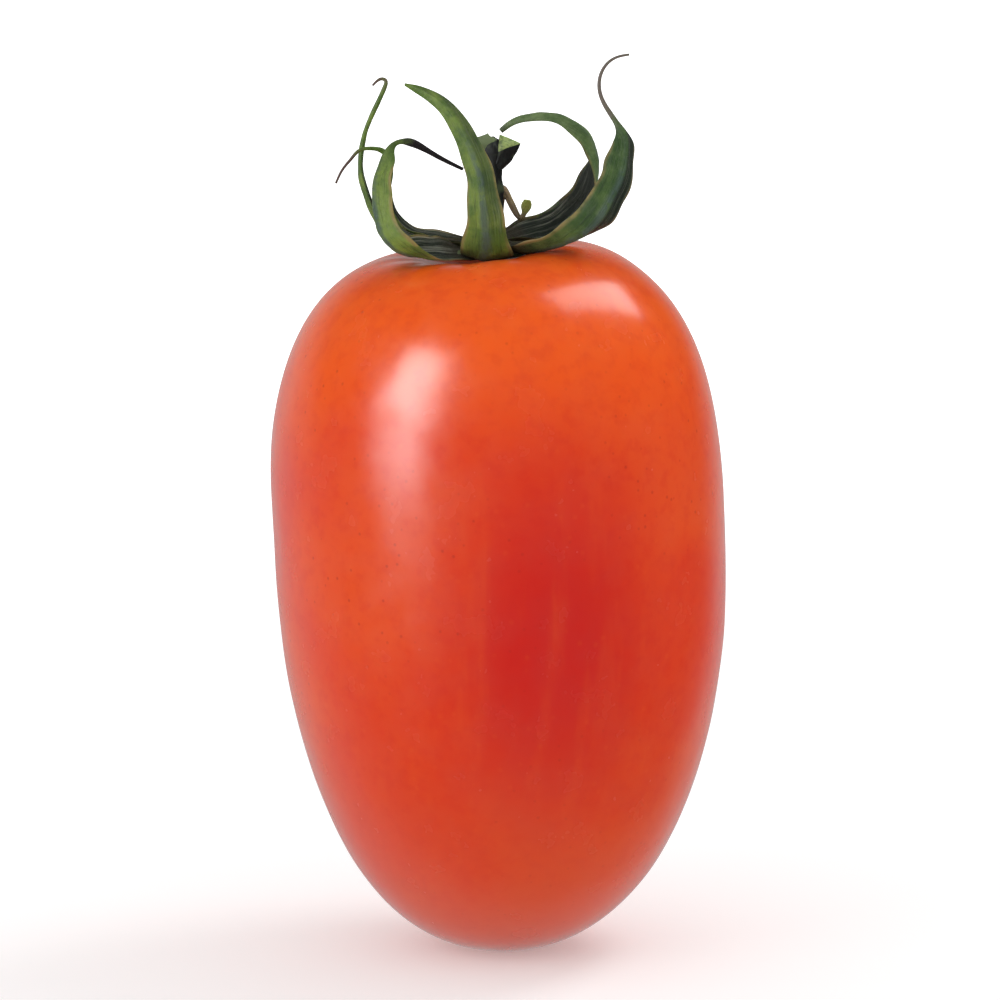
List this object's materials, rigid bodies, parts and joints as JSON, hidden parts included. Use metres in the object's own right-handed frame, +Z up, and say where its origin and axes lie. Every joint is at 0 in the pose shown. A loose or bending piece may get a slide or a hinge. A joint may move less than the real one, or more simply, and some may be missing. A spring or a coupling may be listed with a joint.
{
  "type": "mini plum tomato",
  "caption": "Small egg-shaped red tomato standing on the flat spot at its blossom end, with a curled green calyx and a short stalk stub on top.",
  "frame": {"origin": "middle of the small flat spot at the blossom end, on the surface that the fruit rests on", "axes": "+Z up through the calyx, +X to the right and -Y towards the side with the widest standing sepal"},
  "size_m": [0.028, 0.0278, 0.0558],
  "materials": {
    "fruit_skin": "gloss",
    "sepal_green": "matte",
    "withered_sepal": "matte",
    "stalk_dark": "matte"
  },
  "bodies": {
    "root": {"fruit": "fruit_skin", "calyx_disc": "sepal_green", "sepal_front": "sepal_green", "sepal_left_front": "sepal_green", "sepal_left": "sepal_green", "sepal_left_back": "sepal_green", "sepal_back": "withered_sepal", "sepal_right_back": "sepal_green", "sepal_right_front": "sepal_green", "stalk": "stalk_dark"}
  },
  "joints": []
}
